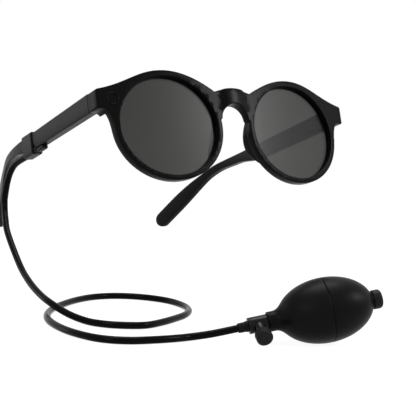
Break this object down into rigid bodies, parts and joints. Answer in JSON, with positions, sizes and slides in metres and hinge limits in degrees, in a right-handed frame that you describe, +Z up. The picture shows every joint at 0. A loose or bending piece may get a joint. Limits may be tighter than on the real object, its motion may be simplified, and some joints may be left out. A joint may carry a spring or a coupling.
{
  "type": "water squirting prank glasses",
  "caption": "Round keyhole-bridge sunglasses with a water jet in one end piece, fed by a squeeze bulb with an air-release screw through a coiled hose.",
  "frame": {"origin": "the nose seat: the middle of the keyhole between the nose pads, 3 mm behind the foremost point of the front", "axes": "+X across the front towards the wearer's left, +Y back along the temples, +Z up; the wearer looks along -Y and the front leans back by 18 degrees"},
  "size_m": [0.1648, 0.2345, 0.1173],
  "materials": {
    "gloss_black": "polished injection-moulded plastic",
    "satin_black": "satin moulded plastic",
    "smoke_lens": "smooth grey-tinted lens",
    "rubber_black": "smooth matt black rubber",
    "hose_black": "smooth black soft plastic tubing",
    "steel": "plain steel",
    "clear_tube": "milky tubing"
  },
  "bodies": {
    "front": {"front_frame": "gloss_black", "left_lens": "smoke_lens", "right_lens": "smoke_lens", "nozzle_bezel": "gloss_black", "nozzle_jet": "satin_black", "port_seal": "rubber_black", "left_front_leaf": "steel", "right_front_leaf": "steel", "left_hinge_screw": "steel", "right_hinge_screw": "steel", "hose": "hose_black", "hose_sleeve": "rubber_black", "valve_body": "gloss_black", "valve_seat": "steel", "bulb_front_shell": "rubber_black", "bulb_rear_shell": "rubber_black", "inlet_valve_body": "gloss_black", "inlet_retainer": "satin_black"},
    "left_temple": {"left_temple": "gloss_black", "left_temple_leaf": "steel", "temple_tube": "clear_tube", "channel_cover": "satin_black", "hose_collar": "gloss_black", "hose_barb": "steel"},
    "right_temple": {"right_temple": "gloss_black", "right_temple_leaf": "steel"},
    "outlet_ball": {"outlet_ball": "steel"},
    "air_stem": {"valve_stem": "steel"},
    "air_knob": {"valve_knob": "satin_black"},
    "inlet_ball": {"inlet_ball": "steel"}
  },
  "joints": [
    {"name": "left_temple_fold", "type": "hinge", "parent": "front", "child": "left_temple", "pos_m": [-0.0653, 0.01374, 0.00763], "axis": [0, -0.309, -0.9511], "range_deg": [0, 87.5]},
    {"name": "right_temple_fold", "type": "hinge", "parent": "front", "child": "right_temple", "pos_m": [0.0653, 0.01374, 0.00763], "axis": [0, 0.309, 0.9511], "range_deg": [0, 73]},
    {"name": "valve_lift", "type": "slide", "parent": "front", "child": "air_stem", "axis": [-0.3127, -0.8835, -0.3489], "range_m": [0, 0.0015]},
    {"name": "valve_turn", "type": "hinge", "parent": "air_stem", "child": "air_knob", "pos_m": [-0.02071, -0.05525, -0.08409], "axis": [-0.3127, -0.8835, -0.3489], "range_deg": [0, 720]},
    {"name": "outlet_ball_lift", "type": "slide", "parent": "front", "child": "outlet_ball", "axis": [-0.8859, 0.4037, -0.2284], "range_m": [0, 0.0008]},
    {"name": "inlet_ball_lift", "type": "slide", "parent": "front", "child": "inlet_ball", "axis": [-0.8859, 0.4037, -0.2284], "range_m": [0, 0.0008]}
  ],
  "couplings": [
    {"joint": "valve_turn", "follows": "valve_lift", "rad_per_m": 8377.6}
  ]
}
